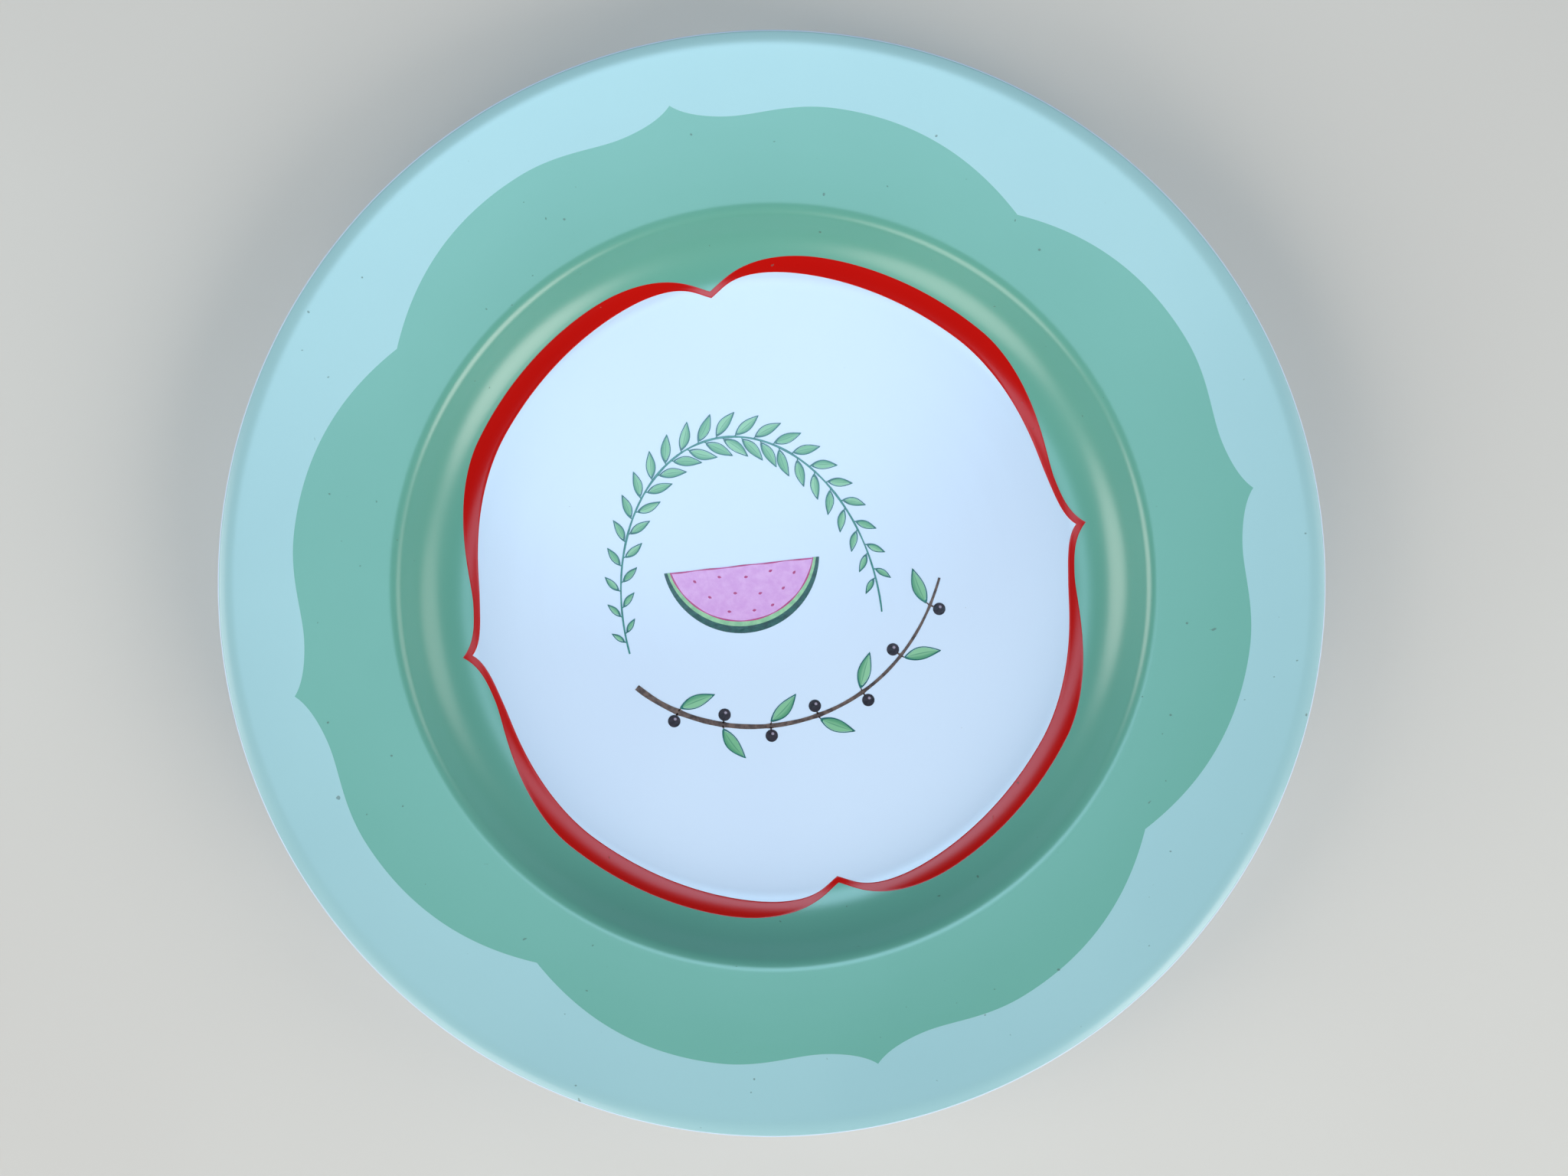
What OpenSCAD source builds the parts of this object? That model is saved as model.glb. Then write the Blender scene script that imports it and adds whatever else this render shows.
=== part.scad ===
// China dinner plate with a scalloped enamel border and a printed fruit motif.
// The origin is at the centre of the circle that the foot ring stands on. +Z points up and
// +Y towards the top of the printed motif.
// A section is followed from the middle of the well, over the lip and back along the
// underside, so the outward normal of every stretch is on its left.

/* [Plate] */
// Diameter over the lip
plate_d = 270; // [225:1:324]
// Height of the corner where the rim turns over to the lip, before that corner is rounded
plate_h = 24; // [20:0.5:30]
// How much the rim climbs from the crest of the well to the lip
rim_rise = 5.5; // [3:0.5:7]
// Thickness of the rim
rim_t = 3.4; // [2.8:0.1:4.2]
// Width of the outer stretch of the rim that rolls over to the lip
lip_roll_w = 3.4; // [3:0.1:4.4]
// Drop of the rolled stretch at the lip
lip_roll_drop = 0.6; // [0.4:0.1:0.9]
// Radius of the bend where the rolled stretch begins
lip_roll_r = 9; // [6:1:10]

/* [Well] */
// Diameter at which the floor and the slope of the well would meet in a sharp corner
well_d = 171; // [142:1:206]
// Width of the slope in plan, from that corner to the crest
slope_w = 7.8; // [6.2:0.1:9.4]
// Thickness of the floor
floor_t = 4.2; // [3.5:0.1:5.1]
// Radius of the hollow round between the floor and the slope
floor_round_r = 16; // [13:0.5:19]
// Radius of the crest between the slope and the rim
crest_round_r = 4; // [2:0.5:5]

/* [Foot ring] */
// Height of the foot ring below the floor
foot_h = 2.8; // [2.2:0.1:3.4]
// How far the foot ring's outer wall stands inside the corner of the well
foot_inset = 8; // [6:0.5:10]
// Width of the foot ring
foot_w = 4; // [3:0.5:5]
// Radius of the two edges of the tread
tread_round_r = 0.7; // [0.4:0.1:0.9]
// Radius where the foot ring's walls run into the underside
foot_root_r = 1; // [0.6:0.1:1.2]

/* [Glaze and enamels] */
// Thickness of the clear glaze
glaze_t = 0.25; // [0.2:0.01:0.35]
// Height of the wiped edge of the glaze above the table
glaze_end_z = 1.1; // [0.9:0.1:1.3]
// Thickness of the enamels and prints on the glaze
print_t = 0.15; // [0.12:0.01:0.2]
// Width of the bare line between the rim enamel and the lip
lip_line_w = 0.7; // [0.4:0.1:1.2]

/* [Scalloped border] */
// Distance of the four outward points of the border from the lip
border_point_inset = 15.4; // [12:0.1:19]
// Distance of the shallow valleys beside the points from the lip
border_valley_inset = 19.8; // [17:0.1:23]
// Distance of the crowns of the eight lobes from the lip
border_crown_inset = 17.5; // [14:0.1:21]
// Distance of the four notches between the lobes from the lip
border_notch_inset = 26; // [22:0.1:31]

/* [Red line] */
// Distance of the two outward points, outer edge, inside the corner of the well
red_point_inset = 3.8; // [3:0.1:5]
// Width of the line at its outward points
red_point_w = 2.4; // [1.8:0.1:3]
// Width of the line at its valleys
red_valley_w = 1.7; // [1.3:0.1:2.2]
// Width of the line at its shoulders
red_shoulder_w = 5; // [4:0.1:6]
// Width of the line at its crowns
red_crown_w = 4.1; // [3:0.1:5]
// Width of the line at its inward notches
red_notch_w = 1.7; // [1.3:0.1:2.2]

/* [Leafy arch] */
// Half the width of the arch at the stem
arch_half_w = 33; // [27:1:38]
// Height of the arch at the stem
arch_h = 46; // [38:1:50]
// Length of the longest leaves
leaf_len = 8; // [6:0.2:9.6]
// Width of the longest leaves
leaf_w = 2.7; // [2:0.1:3.2]
// Distance along the stem from one pair of leaves to the next, as a share of the leaves' length
leaf_pitch = 0.75; // [0.73:0.01:1]
// Width of the inked line around each leaf
ink_w = 0.3; // [0.2:0.05:0.4]
// Width of the stem
stem_w = 0.6; // [0.4:0.1:0.8]

/* [Melon slice] */
// Width of the slice between its two points
melon_w = 40; // [32:1:46]
// Depth of the slice below the straight cut
melon_depth = 17.5; // [14:0.5:19]
// Thickness of the dark rind at the middle of the slice
rind_t = 1.8; // [1.2:0.1:2.4]
// Thickness of the pale pith at the middle of the slice
pith_t = 1.2; // [0.8:0.1:1.6]
// Length of one seed
seed_len = 1.1; // [0.8:0.1:1.5]

/* [Berry twig] */
// Leaves along the twig, with a berry opposite each one
twig_leaf_count = 7; // [4:1:9]
// Width of the twig at its cut end
twig_w = 1.7; // [1.2:0.1:2.4]
// Diameter of one berry
berry_d = 3.2; // [2.4:0.1:4]

/* [Hidden] */

// Facets of the round shapes, and the angle that one step of a section's rounds may turn
$fn = 180;
arc_step = 9;
// Points on each stretch of an outline, of a leaf's side and of a curved stem
outline_steps = 9;
leaf_steps = 7;
stem_steps = 40;
twig_steps = 24;
// Height of the columns that cut the enamels out of their layer
column_h = 2 * plate_h;

plate_r = plate_d / 2;
well_r = well_d / 2;
crest_r = well_r + slope_w;
crest_z = plate_h - rim_rise;
floor_z = foot_h + floor_t;
roll_r = plate_r - lip_roll_w;
foot_r = well_r - foot_inset;
foot_inner_r = foot_r - foot_w;
// The glaze would reach this far below the table if it were not wiped off the tread
glaze_below_z = -glaze_t;

// ---- Sections -------------------------------------------------------------------------

function unit(v) = v / norm(v);
function left_of(v) = [-v[1], v[0]];
function turned(v, angle) = [
    v[0] * cos(angle) - v[1] * sin(angle),
    v[0] * sin(angle) + v[1] * cos(angle)
];
function reversed(list) = [for (i = [len(list) - 1:-1:0]) list[i]];
function xy(p) = [p[0], p[1]];

// A corner moved square to its two sides by a wall's thickness, to the right of the path
function under_corner(before, here, after, wall) =
    let (
        first = left_of(unit(here - before)),
        second = left_of(unit(after - here))
    )
    here - (first + second) * wall / (1 + first * second);

// The points of one rounded corner, each with its outward normal: [r, z, normal r, normal z]
function corner_arc(before, here, after, radius) =
    let (
        ahead = unit(here - before),
        beyond = unit(after - here),
        turn = atan2(cross(ahead, beyond), ahead * beyond),
        side = sign(turn),
        start = here - ahead * radius * tan(abs(turn) / 2),
        centre = start + left_of(ahead) * radius * side,
        steps = max(2, ceil(abs(turn) / arc_step))
    )
    [
        for (i = [0:steps])
            let (normal = turned(left_of(ahead), turn * i / steps))
            concat(centre - normal * radius * side, normal)
    ];

// The rounded inner corners of a list of [r, z, radius]
function rounds(corners) = [
    for (i = [1:len(corners) - 2])
        each corner_arc(xy(corners[i - 1]), xy(corners[i]), xy(corners[i + 1]), corners[i][2])
];

// The same with both ends of the list
function path(corners) =
    let (
        last = len(corners) - 1,
        first_side = unit(xy(corners[1]) - xy(corners[0])),
        last_side = unit(xy(corners[last]) - xy(corners[last - 1]))
    )
    concat(
        [concat(xy(corners[0]), left_of(first_side))],
        rounds(corners),
        [concat(xy(corners[last]), left_of(last_side))]
    );

function shifted(points, distance) = [
    for (p = points) [p[0] + p[2] * distance, p[1] + p[3] * distance]
];

// The band between two parallel curves of a path
function band(points, low, high) =
    concat(shifted(points, high), reversed(shifted(points, low)));

floor_corner = [well_r, floor_z];
crest_corner = [crest_r, crest_z];
roll_corner = [roll_r, plate_h];
lip_corner = [plate_r, plate_h - lip_roll_drop];
lip_round_r = rim_t * 0.45;
lip_under_corner = lip_corner + [0, -rim_t];

under_roll = under_corner(crest_corner, roll_corner, lip_corner, rim_t);
under_crest = under_corner(floor_corner, crest_corner, roll_corner, rim_t);
under_floor = under_corner([0, floor_z], floor_corner, crest_corner, floor_t);

// From the middle of the well, over the lip, to the foot ring's outer wall
upper_path = path([
    [0, floor_z, 0],
    concat(floor_corner, floor_round_r),
    concat(crest_corner, crest_round_r),
    concat(roll_corner, lip_roll_r),
    concat(lip_corner, lip_round_r),
    concat(lip_under_corner, lip_round_r),
    concat(under_roll, lip_roll_r - rim_t),
    concat(under_crest, crest_round_r + rim_t),
    concat(under_floor, floor_round_r - floor_t),
    [foot_r, foot_h, foot_root_r],
    [foot_r, glaze_end_z, 0]
]);
// The tread that the plate stands on
tread_path = rounds([
    [foot_r, glaze_end_z, 0],
    [foot_r, glaze_below_z, tread_round_r + glaze_t],
    [foot_inner_r, glaze_below_z, tread_round_r + glaze_t],
    [foot_inner_r, glaze_end_z, 0]
]);
// From the foot ring's inner wall to the middle of the underside
recess_path = path([
    [foot_inner_r, glaze_end_z, 0],
    [foot_inner_r, foot_h, foot_root_r],
    [0, foot_h, 0]
]);
// The decorated face: what of that path faces up, as far as the bare line at the lip
decorated_path = [for (p = upper_path) if (p[3] > 0 && p[0] <= plate_r - lip_line_w) p];

// ---- Outlines of the enamels ----------------------------------------------------------

function bezier(p, t) =
    pow(1 - t, 3) * p[0] + 3 * pow(1 - t, 2) * t * p[1]
    + 3 * (1 - t) * t * t * p[2] + pow(t, 3) * p[3];

// Stretches of curve as [angle, radius], with the end that the next stretch starts left out
function stretches(list) = [
    for (s = list) for (i = [0:outline_steps - 1]) bezier(s, i / outline_steps)
];

// A closed outline from one part of it, mirrored and repeated round the plate.
// sweep is the angle of the part, and its last point is on the mirror line.
function mirrored_outline(part, end_point, sweep) =
    let (
        there = concat(part, [end_point]),
        back = [for (i = [len(part) - 1:-1:1]) [2 * sweep - part[i][0], part[i][1]]]
    )
    [
        for (turn = [0:2 * sweep:359])
            for (p = concat(there, back))
                p[1] * [cos(p[0] + turn), sin(p[0] + turn)]
    ];

border_point_r = plate_r - border_point_inset;
border_valley_r = plate_r - border_valley_inset;
border_crown_r = plate_r - border_crown_inset;
border_notch_r = plate_r - border_notch_inset;
border_valley_angle = 7.2;
border_crown_angle = 19.2;
border_notch_angle = 45;

function border_outline() = mirrored_outline(
    stretches([
        [
            [0, border_point_r],
            [1.8, border_point_r - 3.5],
            [border_valley_angle - 1.8, border_valley_r],
            [border_valley_angle, border_valley_r]
        ],
        [
            [border_valley_angle, border_valley_r],
            [border_valley_angle + 3.4, border_valley_r],
            [border_crown_angle - 5, border_crown_r],
            [border_crown_angle, border_crown_r]
        ],
        [
            [border_crown_angle, border_crown_r],
            [border_crown_angle + 11, border_crown_r],
            [border_notch_angle - 8, border_notch_r + 5],
            [border_notch_angle, border_notch_r]
        ]
    ]),
    [border_notch_angle, border_notch_r],
    border_notch_angle
);

// Places of the red line's outer edge, as angles and distances inside the well's corner
red_valley_angle = 9.5;
red_shoulder_angle = 39;
red_crown_angle = 70;
red_notch_angle = 90;
red_valley_inset = 8.2;
red_shoulder_inset = 1.3;
red_crown_inset = 0.6;
red_notch_inset = 7.8;
// How much further round the inner edge has its valley, shoulder and crown
red_inner_lag = [1.6, 3, 7];

// lag is [0, 0, 0] for the outer edge, and narrow is the line's width at each place
function red_edge(lag, narrow) =
    let (
        point = well_r - red_point_inset - narrow[0],
        valley = well_r - red_valley_inset - narrow[1],
        shoulder = well_r - red_shoulder_inset - narrow[2],
        crown = well_r - red_crown_inset - narrow[3],
        notch = well_r - red_notch_inset - narrow[4],
        valley_angle = red_valley_angle + lag[0],
        shoulder_angle = red_shoulder_angle + lag[1],
        crown_angle = red_crown_angle + lag[2]
    )
    mirrored_outline(
        stretches([
            [
                [0, point],
                [1.9, point - 3],
                [valley_angle - 5, valley],
                [valley_angle, valley]
            ],
            [
                [valley_angle, valley],
                [valley_angle + 5.5, valley],
                [shoulder_angle - 10, shoulder - 0.1],
                [shoulder_angle, shoulder]
            ],
            [
                [shoulder_angle, shoulder],
                [shoulder_angle + 14, shoulder + 0.15],
                [crown_angle - 6, crown],
                [crown_angle, crown]
            ],
            [
                [crown_angle, crown],
                [crown_angle + (red_notch_angle - crown_angle) * 0.7, crown],
                [red_notch_angle - 3.2, notch + 2.2],
                [red_notch_angle, notch]
            ]
        ]),
        [red_notch_angle, notch],
        red_notch_angle
    );

function red_outer() = red_edge([0, 0, 0], [0, 0, 0, 0, 0]);
function red_inner() = red_edge(
    red_inner_lag,
    [red_point_w, red_valley_w, red_shoulder_w, red_crown_w, red_notch_w]
);

// ---- Places and outlines of the motif -------------------------------------------------

// Foot of the arch's middle line, and the middle of the melon's straight cut
arch_origin = [-7, -5];
melon_origin = [-7, 8];
melon_tilt = -6;
// Where the arch's stem starts at the left and ends at the right of its ellipse
arch_start_angle = 184;
arch_end_angle = -8;
// Leaves lean forward from the stem by this angle, and the clear gap at their foot
leaf_lean = 42;
leaf_gap = 0.12;
// Share of the full length that the leaves at the ends of the arch keep, and on the twig
leaf_end_share = 0.5;
twig_leaf_share = 1.25;

function arch_at(t) =
    let (a = arch_start_angle + (arch_end_angle - arch_start_angle) * t)
    arch_origin + [arch_half_w * cos(a), arch_h * sin(a)];

// How many pairs of leaves the stem has room for
function run_length(points, i = 1) =
    i == len(points) ? 0 : norm(points[i] - points[i - 1]) + run_length(points, i + 1);
arch_run = run_length([for (i = [0:stem_steps]) arch_at(i / stem_steps)]);
arch_pairs = floor(arch_run / (leaf_len * leaf_pitch));

function twig_at(t) = bezier([[-40, -17], [-22, -40], [22, -44], [42, -6]], t);

// A strip along a curve given by its points, with a width at each end
function strip(points, start_w, end_w) =
    let (
        last = len(points) - 1,
        half = [for (i = [0:last]) (start_w + (end_w - start_w) * i / last) / 2],
        side = [
            for (i = [0:last])
                left_of(unit(points[min(i + 1, last)] - points[max(i - 1, 0)]))
        ]
    )
    concat(
        [for (i = [0:last]) points[i] + side[i] * half[i]],
        [for (i = [last:-1:0]) points[i] - side[i] * half[i]]
    );

// A pointed oval that starts at the origin and runs along +X
function leaf_outline(length, width, inset = 0) =
    let (
        tip = inset * length / width,
        half = width / 2 - inset,
        upper = [
            for (i = [0:leaf_steps])
                let (t = i / leaf_steps)
                [tip + (length - 2 * tip) * t, half * sin(180 * pow(t, 0.85))]
        ]
    )
    concat(upper, [for (i = [leaf_steps - 1:-1:1]) [upper[i][0], -upper[i][1]]]);

// A leaf's place: foot, direction and share of the full size
function leaf_on(curve_point, before, after, side, lean, share) =
    let (
        along = unit(after - before),
        across = left_of(along) * side,
        heading = atan2(along[1], along[0]) + side * lean
    )
    [curve_point + across * (stem_w / 2 + leaf_gap), heading, share];

arch_leaves = [
    for (i = [0:arch_pairs - 1], side = [-1, 1])
        let (
            t = 0.02 + 0.95 * (i + (side > 0 ? 0 : 0.35)) / arch_pairs,
            share = leaf_end_share + (1 - leaf_end_share) * sin(180 * t)
        )
        leaf_on(arch_at(t), arch_at(t - 0.01), arch_at(t + 0.01), side, leaf_lean, share)
];

// Places along the twig, with the side that the leaf is on
twig_places = [
    for (i = [0:twig_leaf_count - 1])
        [0.14 + 0.8 * i / (twig_leaf_count - 1), i % 2 == 0 ? 1 : -1]
];

twig_leaves = [
    for (place = twig_places)
        let (near = twig_at(place[0] - 0.01), far = twig_at(place[0] + 0.01))
        [
            twig_at(place[0]) + left_of(unit(far - near)) * place[1] * (twig_w / 2 + leaf_gap),
            atan2((far - near)[1], (far - near)[0]) + place[1] * leaf_lean,
            twig_leaf_share
        ]
];

twig_berries = [
    for (place = twig_places)
        let (near = twig_at(place[0] - 0.01), far = twig_at(place[0] + 0.01))
        twig_at(place[0])
            - left_of(unit(far - near)) * place[1] * (twig_w / 2 + berry_d / 2 + leaf_gap)
];

// The round of the slice, and the rounds of its pith and flesh, which close up at the points
melon_half = melon_w / 2;
function slice_radius(half, depth) = (half * half + depth * depth) / (2 * depth);
melon_rounds = [
    [melon_half, melon_depth],
    [melon_half - rind_t * 0.45, melon_depth - rind_t],
    [melon_half - rind_t * 0.45 - pith_t * 0.55, melon_depth - rind_t - pith_t]
];
// Seeds in two rows and a last one, as shares of the slice's half width and depth
melon_seeds_at = [
    [-0.62, -0.17], [-0.3, -0.14], [0.04, -0.18], [0.36, -0.13], [0.66, -0.19],
    [-0.45, -0.42], [-0.12, -0.4], [0.2, -0.44], [0.5, -0.4],
    [-0.22, -0.66], [0.1, -0.68], [0.34, -0.63]
];

// ---- Building blocks ------------------------------------------------------------------

// A prism that stands through the whole plate
module column(outline) {
    linear_extrude(height = column_h)
        polygon(outline);
}

// The thin layer on the glaze, over the whole decorated face
module print_layer() {
    rotate_extrude()
        polygon(band(decorated_path, 0, print_t));
}

// A flat print on the floor of the well
module floor_print(outline) {
    translate([0, 0, floor_z])
        linear_extrude(height = print_t)
            polygon(outline);
}

module placed_leaf(leaf) {
    translate([leaf[0][0], leaf[0][1], 0])
        rotate([0, 0, leaf[1]])
            children();
}

// One round of the slice, cut off straight at the top
module slice_round(number) {
    radius = slice_radius(melon_rounds[number][0], melon_rounds[number][1]);
    intersection() {
        translate([0, radius - melon_rounds[number][1], floor_z])
            cylinder(h = print_t, r = radius);
        translate([-melon_w, -melon_w, floor_z - plate_h])
            cube([2 * melon_w, melon_w, 2 * plate_h]);
    }
}

// A taller copy of one round, to cut the next layer out with
module slice_cutter(number) {
    radius = slice_radius(melon_rounds[number][0], melon_rounds[number][1]);
    translate([0, radius - melon_rounds[number][1], floor_z - 1])
        cylinder(h = print_t + 2, r = radius);
}

module on_melon() {
    translate([melon_origin[0], melon_origin[1], 0])
        rotate([0, 0, melon_tilt])
            children();
}

module seed_columns(bottom_z, height) {
    for (place = melon_seeds_at)
        translate([place[0] * melon_half, place[1] * melon_depth, bottom_z])
            rotate([0, 0, 70 * place[0]])
                translate([-seed_len / 2, 0, 0])
                    linear_extrude(height = height)
                        polygon(leaf_outline(seed_len, seed_len * 0.6));
}

// ---- Sub-parts ------------------------------------------------------------------------

module porcelain_body() {
    color("white")
        rotate_extrude()
            polygon(concat(
                shifted(upper_path, -glaze_t),
                shifted(tread_path, -glaze_t),
                shifted(recess_path, -glaze_t)
            ));
}

module glaze_coat() {
    color("ghostwhite") {
        rotate_extrude()
            polygon(band(upper_path, -glaze_t, 0));
        rotate_extrude()
            polygon(band(recess_path, -glaze_t, 0));
    }
}

module rim_enamel() {
    color([0.62, 0.85, 0.79])
        difference() {
            print_layer();
            column(border_outline());
        }
}

module border_enamel() {
    color([0.47, 0.75, 0.65])
        intersection() {
            print_layer();
            difference() {
                column(border_outline());
                column(red_outer());
            }
        }
}

module red_line() {
    color([0.83, 0.12, 0.03])
        intersection() {
            print_layer();
            difference() {
                column(red_outer());
                column(red_inner());
            }
        }
}

module arch_stem() {
    color([0.15, 0.5, 0.42])
        floor_print(strip([for (i = [0:stem_steps]) arch_at(i / stem_steps)], stem_w, stem_w));
}

module leaf_ink() {
    color([0.1, 0.42, 0.36])
        for (leaf = concat(arch_leaves, twig_leaves))
            placed_leaf(leaf)
                difference() {
                    floor_print(leaf_outline(leaf_len * leaf[2], leaf_w * leaf[2]));
                    column(leaf_outline(leaf_len * leaf[2], leaf_w * leaf[2], ink_w));
                }
}

module leaf_fill() {
    color([0.43, 0.7, 0.52])
        for (leaf = concat(arch_leaves, twig_leaves))
            placed_leaf(leaf)
                floor_print(leaf_outline(leaf_len * leaf[2], leaf_w * leaf[2], ink_w));
}

module melon_rind() {
    color([0.05, 0.28, 0.24])
        on_melon()
            difference() {
                slice_round(0);
                slice_cutter(1);
            }
}

module melon_pith() {
    color([0.5, 0.74, 0.55])
        on_melon()
            difference() {
                slice_round(1);
                slice_cutter(2);
            }
}

module melon_flesh() {
    color([0.8, 0.58, 0.84])
        on_melon()
            difference() {
                slice_round(2);
                seed_columns(floor_z - 1, print_t + 2);
            }
}

module melon_seeds() {
    color([0.66, 0.16, 0.43])
        on_melon()
            seed_columns(floor_z, print_t);
}

module twig() {
    color([0.35, 0.26, 0.22])
        floor_print(strip(
            [for (i = [0:twig_steps]) twig_at(i / twig_steps)],
            twig_w,
            twig_w * 0.4
        ));
}

module berries() {
    color([0.16, 0.1, 0.14])
        for (place = twig_berries)
            translate([place[0], place[1], floor_z])
                cylinder(h = print_t, d = berry_d);
}

porcelain_body();
glaze_coat();
rim_enamel();
border_enamel();
red_line();
arch_stem();
leaf_ink();
leaf_fill();
melon_rind();
melon_pith();
melon_flesh();
melon_seeds();
twig();
berries();
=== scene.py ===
"""The looks of the china dinner plate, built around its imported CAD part.

Everything is in metres in the CAD frame: the origin is at the centre of the foot ring's circle,
+Z is up and +Y is the top of the printed motif. The section's sizes are written in millimetres,
as on a potter's drawing, and the mesh functions turn them into metres.
"""

import math

import bpy
import numpy as np
from mathutils import Matrix, Vector


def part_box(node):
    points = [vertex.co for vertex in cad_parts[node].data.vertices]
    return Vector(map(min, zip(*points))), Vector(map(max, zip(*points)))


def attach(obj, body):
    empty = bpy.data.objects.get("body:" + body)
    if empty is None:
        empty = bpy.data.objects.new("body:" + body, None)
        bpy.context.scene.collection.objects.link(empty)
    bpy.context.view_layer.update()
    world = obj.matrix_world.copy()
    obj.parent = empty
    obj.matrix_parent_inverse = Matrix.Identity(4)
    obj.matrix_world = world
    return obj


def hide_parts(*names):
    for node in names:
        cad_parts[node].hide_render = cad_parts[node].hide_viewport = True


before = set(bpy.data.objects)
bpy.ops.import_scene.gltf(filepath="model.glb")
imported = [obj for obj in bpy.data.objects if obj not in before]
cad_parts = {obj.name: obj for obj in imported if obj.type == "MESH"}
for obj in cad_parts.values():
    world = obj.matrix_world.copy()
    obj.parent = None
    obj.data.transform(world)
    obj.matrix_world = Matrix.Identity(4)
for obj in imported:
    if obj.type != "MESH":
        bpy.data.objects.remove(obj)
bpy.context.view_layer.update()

MM = 0.001

# ---- Driving sizes, in millimetres ------------------------------------------------------
plate_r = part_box("glaze_coat")[1].x / MM
plate_h = 24.0
rim_rise = 5.5
rim_t = 3.4
lip_roll_w = 3.4
lip_roll_drop = 0.6
lip_roll_r = 9.0
well_r = 85.5
slope_w = 7.8
floor_t = 4.2
floor_round_r = 16.0
crest_round_r = 4.0
foot_h = 2.8
foot_inset = 8.0
foot_w = 4.0
tread_round_r = 0.7
foot_root_r = 1.0
glaze_t = 0.25
glaze_end_z = 1.1
lip_line_w = 0.7
enamel_t = 0.08
red_t = 0.11
print_t = 0.06
# How far a layer's hidden underside is sunk into the glaze, so that no light shows under it
layer_sink = 0.03

# The scalloped border's radii and the red line's insets, as on the CAD part
border_point_r = plate_r - 15.4
border_valley_r = plate_r - 19.8
border_crown_r = plate_r - 17.5
border_notch_r = plate_r - 26.0

floor_z = foot_h + floor_t
crest_r = well_r + slope_w
crest_z = plate_h - rim_rise
foot_r = well_r - foot_inset

COLUMNS = 1080
ARC_STEP = 1.5


# ---- Sections ---------------------------------------------------------------------------
def unit(v):
    return v / np.linalg.norm(v)


def left_of(v):
    return np.array([-v[1], v[0]])


def under_corner(before, here, after, wall):
    """A corner moved square to its two sides by a wall's thickness, to the right of the path."""
    first = left_of(unit(here - before))
    second = left_of(unit(after - here))
    return here - (first + second) * wall / (1 + first @ second)


def corner_arc(before, here, after, radius):
    """The points of one rounded corner as rows of [r, z, normal r, normal z]."""
    ahead = unit(here - before)
    beyond = unit(after - here)
    turn = math.atan2(ahead[0] * beyond[1] - ahead[1] * beyond[0], ahead @ beyond)
    side = math.copysign(1.0, turn)
    start = here - ahead * radius * math.tan(abs(turn) / 2)
    centre = start + left_of(ahead) * radius * side
    steps = max(6, math.ceil(math.degrees(abs(turn)) / ARC_STEP))
    rows = []
    for a in np.linspace(0, turn, steps + 1):
        n = left_of(ahead)
        n = np.array([n[0] * math.cos(a) - n[1] * math.sin(a), n[0] * math.sin(a) + n[1] * math.cos(a)])
        rows.append(np.concatenate([centre - n * radius * side, n]))
    return rows


def path(corners, ends=True):
    """A rounded path through [r, z, radius] corners as rows of [r, z, normal r, normal z]."""
    points = [np.array(c[:2], float) for c in corners]
    rows = []
    for i in range(1, len(corners) - 1):
        rows += corner_arc(points[i - 1], points[i], points[i + 1], corners[i][2])
    if ends:
        first = np.concatenate([points[0], left_of(unit(points[1] - points[0]))])
        last = np.concatenate([points[-1], left_of(unit(points[-1] - points[-2]))])
        rows = [first] + rows + [last]
    return np.array(rows)


def refined(rows, step):
    """The path with its straight stretches cut into pieces no longer than step."""
    out = [rows[0]]
    for a, b in zip(rows[:-1], rows[1:]):
        count = max(1, math.ceil(np.linalg.norm(b[:2] - a[:2]) / step))
        for k in range(1, count + 1):
            out.append(a + (b - a) * k / count)
    return np.array(out)


def shifted(rows, distance):
    """The parallel curve at a distance along the outward normal."""
    return rows[:, :2] + rows[:, 2:] * np.asarray(distance).reshape(-1, 1)


floor_corner = np.array([well_r, floor_z])
crest_corner = np.array([crest_r, crest_z])
roll_corner = np.array([plate_r - lip_roll_w, plate_h])
lip_corner = np.array([plate_r, plate_h - lip_roll_drop])
lip_under_corner = lip_corner - np.array([0, rim_t])
lip_round_r = rim_t * 0.45
under_roll = under_corner(crest_corner, roll_corner, lip_corner, rim_t)
under_crest = under_corner(floor_corner, crest_corner, roll_corner, rim_t)
under_floor = under_corner(np.array([0, floor_z]), floor_corner, crest_corner, floor_t)

upper_path = refined(path([
    [0, floor_z, 0],
    [*floor_corner, floor_round_r],
    [*crest_corner, crest_round_r],
    [*roll_corner, lip_roll_r],
    [*lip_corner, lip_round_r],
    [*lip_under_corner, lip_round_r],
    [*under_roll, lip_roll_r - rim_t],
    [*under_crest, crest_round_r + rim_t],
    [*under_floor, floor_round_r - floor_t],
    [foot_r, foot_h, foot_root_r],
    [foot_r, glaze_end_z, 0],
]), 4.0)
tread_path = path([
    [foot_r, glaze_end_z, 0],
    [foot_r, -glaze_t, tread_round_r + glaze_t],
    [foot_r - foot_w, -glaze_t, tread_round_r + glaze_t],
    [foot_r - foot_w, glaze_end_z, 0],
], ends=False)
recess_path = refined(path([
    [foot_r - foot_w, glaze_end_z, 0],
    [foot_r - foot_w, foot_h, foot_root_r],
    [0, foot_h, 0],
]), 4.0)

# The decorated face, with the running length of each of its points
lip_index = int(np.argmax(upper_path[:, 0] > plate_r - lip_line_w))
face = upper_path[:lip_index]
face_s = np.concatenate([[0], np.cumsum(np.linalg.norm(np.diff(face[:, :2], axis=0), axis=1))])


def s_of_radius(r):
    return np.interp(r, face[:, 0], face_s)


def face_at(s):
    """[r, z, normal r, normal z] at running lengths s, as a last axis."""
    out = np.stack([np.interp(s, face_s, face[:, k]) for k in range(4)], axis=-1)
    out[..., 2:] /= np.linalg.norm(out[..., 2:], axis=-1, keepdims=True)
    return out


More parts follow.
